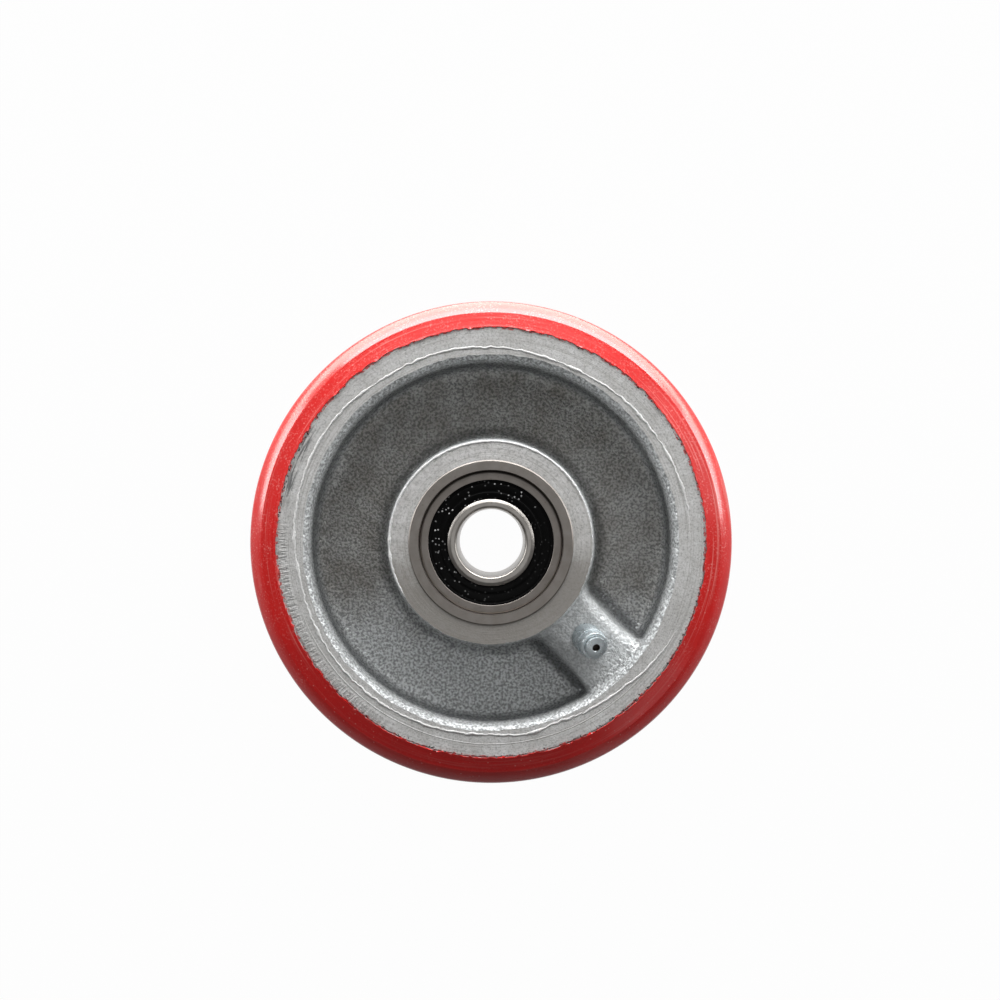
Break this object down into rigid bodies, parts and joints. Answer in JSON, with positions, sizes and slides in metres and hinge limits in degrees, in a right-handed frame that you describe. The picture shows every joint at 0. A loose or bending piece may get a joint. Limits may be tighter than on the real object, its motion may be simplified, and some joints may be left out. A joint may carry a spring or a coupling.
{
  "type": "polyurethane wheel",
  "caption": "Castor wheel with a red polyurethane tyre on a dished cast iron core, sealed ball bearings in the hub, a plain axle bore and a grease nipple on a radial rib.",
  "frame": {"origin": "middle of the axle bore, halfway between the two hub faces", "axes": "+Z along the axle towards the side with the grease nipple; +X and +Y across the wheel, with the rib and nipple at -45 degrees"},
  "size_m": [0.178, 0.178, 0.06],
  "materials": {
    "polyurethane": "satin",
    "painted_iron": "satin",
    "bearing_steel": "satin",
    "ball_steel": "polished",
    "cage_steel": "satin",
    "seal_rubber": "gloss",
    "spacer_steel": "satin",
    "zinc": "satin",
    "spring_steel": "polished"
  },
  "bodies": {
    "axle_side": {"front_inner_ring": "bearing_steel", "rear_inner_ring": "bearing_steel", "spacer_tube": "spacer_steel"},
    "wheel": {"tyre": "polyurethane", "wheel_core": "painted_iron", "front_outer_ring": "bearing_steel", "rear_outer_ring": "bearing_steel", "front_outer_seal": "seal_rubber", "front_inner_seal": "seal_rubber", "rear_outer_seal": "seal_rubber", "rear_inner_seal": "seal_rubber", "nipple_body": "zinc", "nipple_spring": "spring_steel"},
    "front_ball_cage": {"front_cage_outer": "cage_steel", "front_cage_inner": "cage_steel", "front_cage_rivets": "cage_steel", "front_ball_1": "ball_steel", "front_ball_2": "ball_steel", "front_ball_3": "ball_steel", "front_ball_4": "ball_steel", "front_ball_5": "ball_steel", "front_ball_6": "ball_steel", "front_ball_7": "ball_steel", "front_ball_8": "ball_steel", "front_ball_9": "ball_steel"},
    "rear_ball_cage": {"rear_cage_outer": "cage_steel", "rear_cage_inner": "cage_steel", "rear_cage_rivets": "cage_steel", "rear_ball_1": "ball_steel", "rear_ball_2": "ball_steel", "rear_ball_3": "ball_steel", "rear_ball_4": "ball_steel", "rear_ball_5": "ball_steel", "rear_ball_6": "ball_steel", "rear_ball_7": "ball_steel", "rear_ball_8": "ball_steel", "rear_ball_9": "ball_steel"},
    "nipple_valve": {"nipple_ball": "ball_steel"}
  },
  "joints": [
    {"name": "wheel_spin", "type": "hinge", "parent": "axle_side", "child": "wheel", "pos_m": [0, 0, 0], "axis": [0, 0, 1], "continuous": true},
    {"name": "front_cage_spin", "type": "hinge", "parent": "axle_side", "child": "front_ball_cage", "pos_m": [0, 0, 0.0215], "axis": [0, 0, 1], "continuous": true},
    {"name": "rear_cage_spin", "type": "hinge", "parent": "axle_side", "child": "rear_ball_cage", "pos_m": [0, 0, -0.0215], "axis": [0, 0, 1], "continuous": true},
    {"name": "nipple_valve_slide", "type": "slide", "parent": "wheel", "child": "nipple_valve", "axis": [-0.2649, 0.2649, -0.9272], "range_m": [0, 0.0008], "stiffness_N_per_m": 1200, "springref_m": -0.0005, "deforming": ["nipple_spring"]}
  ],
  "couplings": [
    {"joint": "front_cage_spin", "follows": "wheel_spin", "ratio": 0.6018},
    {"joint": "rear_cage_spin", "follows": "wheel_spin", "ratio": 0.6018}
  ]
}
